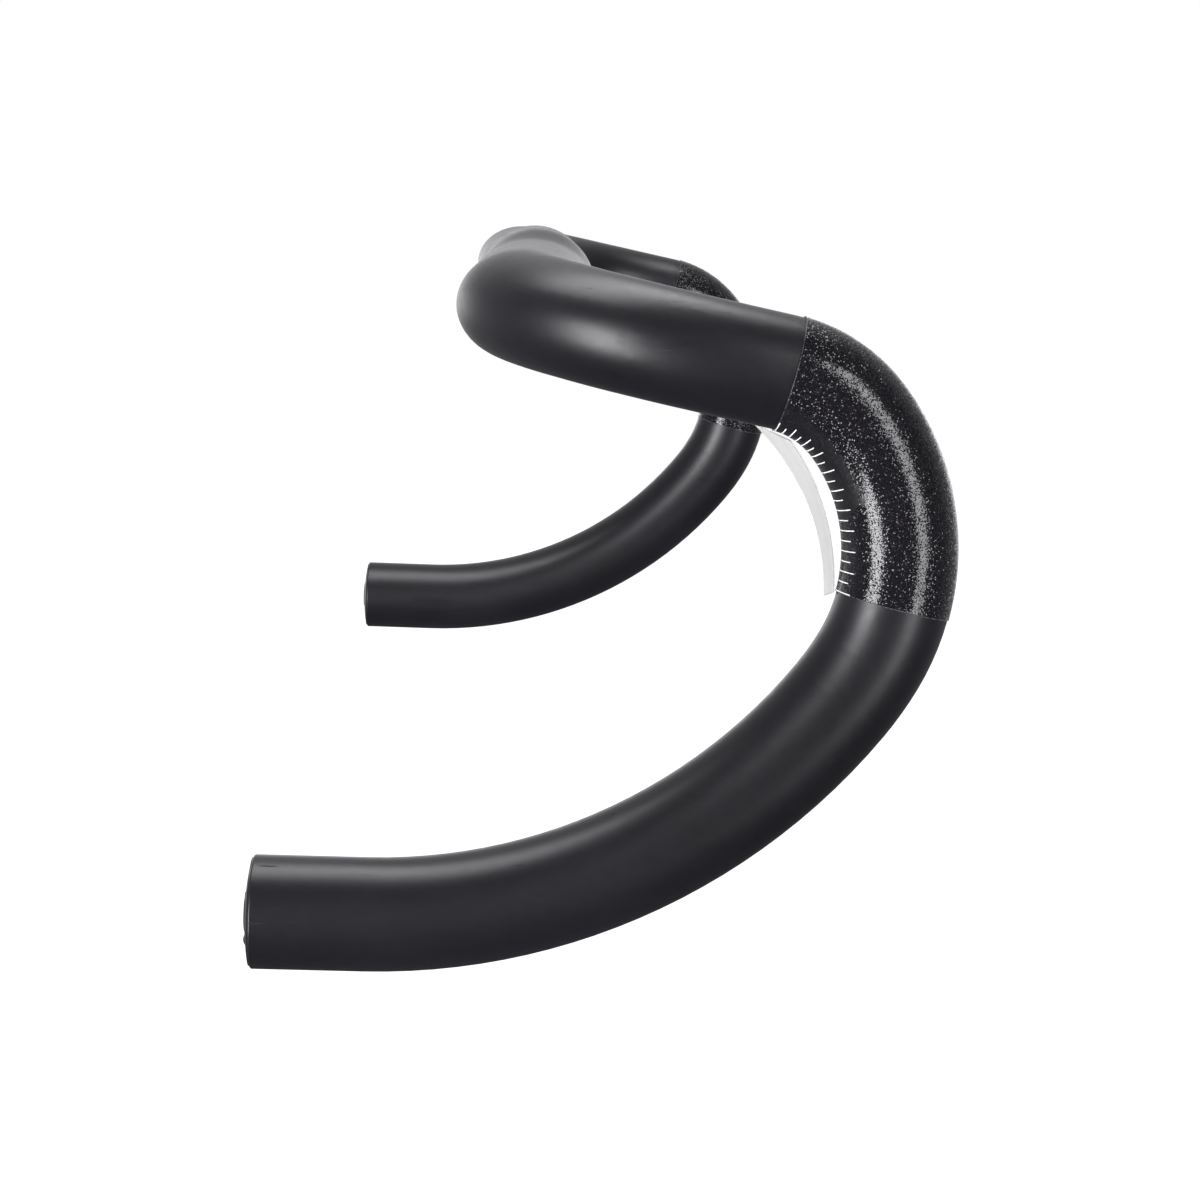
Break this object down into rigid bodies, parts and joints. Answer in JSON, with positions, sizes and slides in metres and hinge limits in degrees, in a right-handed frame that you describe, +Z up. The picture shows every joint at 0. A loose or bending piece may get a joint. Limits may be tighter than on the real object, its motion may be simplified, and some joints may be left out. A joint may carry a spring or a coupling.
{
  "type": "drop handlebar",
  "caption": "Drop handlebar: round stem clamp zone, oval tops, short sloping ramps and hooked drops, with textured lever clamp zones, tick scales and expanding end plugs.",
  "frame": {"origin": "centre of the stem clamp zone, on its axis", "axes": "+X forward, +Y to the rider's left along the clamp axis, +Z up with the bar level as ridden"},
  "size_m": [0.1488, 0.4378, 0.1509],
  "materials": {
    "carbon_lacquer": "satin lacquer over moulded carbon fibre",
    "clamp_friction_coat": "fine matt grit",
    "lever_grip_coat": "glossy coarse grit",
    "white_ink": "printed ink",
    "frosted_film": "frosted soft film with lengthwise streaks",
    "bonded_sleeve": "sanded laminate",
    "cap_plastic": "moulded plastic",
    "expander_rubber": "moulded rubber",
    "nut_aluminium": "turned",
    "screw_steel": "zinc plated"
  },
  "bodies": {
    "bar": {"centre_section": "carbon_lacquer", "stem_clamp_coat": "clamp_friction_coat", "stem_centre_ticks": "white_ink", "right_drop": "carbon_lacquer", "right_joint_sleeve": "bonded_sleeve", "right_lever_grip_coat": "lever_grip_coat", "right_tick_scale": "white_ink", "right_protective_strip": "frosted_film", "right_end_cap": "cap_plastic", "right_expander_sleeve": "expander_rubber", "left_drop": "carbon_lacquer", "left_joint_sleeve": "bonded_sleeve", "left_lever_grip_coat": "lever_grip_coat", "left_tick_scale": "white_ink", "left_end_cap": "cap_plastic", "left_expander_sleeve": "expander_rubber"},
    "right_screw": {"right_expander_screw": "screw_steel"},
    "right_nut": {"right_wedge_nut": "nut_aluminium"},
    "left_screw": {"left_expander_screw": "screw_steel"},
    "left_nut": {"left_wedge_nut": "nut_aluminium"}
  },
  "joints": [
    {"name": "right_screw_turn", "type": "hinge", "parent": "bar", "child": "right_screw", "pos_m": [-0.06119, -0.20698, -0.12211], "axis": [0.9992, 0.0095, -0.0386], "range_deg": [0, 1080]},
    {"name": "right_nut_draw", "type": "slide", "parent": "bar", "child": "right_nut", "axis": [-0.9992, -0.0095, 0.0386], "range_m": [0, 0.0024]},
    {"name": "left_screw_turn", "type": "hinge", "parent": "bar", "child": "left_screw", "pos_m": [-0.06119, 0.20698, -0.12211], "axis": [0.9992, -0.0095, -0.0386], "range_deg": [0, 1080]},
    {"name": "left_nut_draw", "type": "slide", "parent": "bar", "child": "left_nut", "axis": [-0.9992, 0.0095, 0.0386], "range_m": [0, 0.0024]}
  ],
  "couplings": [
    {"joint": "right_screw_turn", "follows": "right_nut_draw", "rad_per_m": 7854},
    {"joint": "left_screw_turn", "follows": "left_nut_draw", "rad_per_m": 7854}
  ]
}
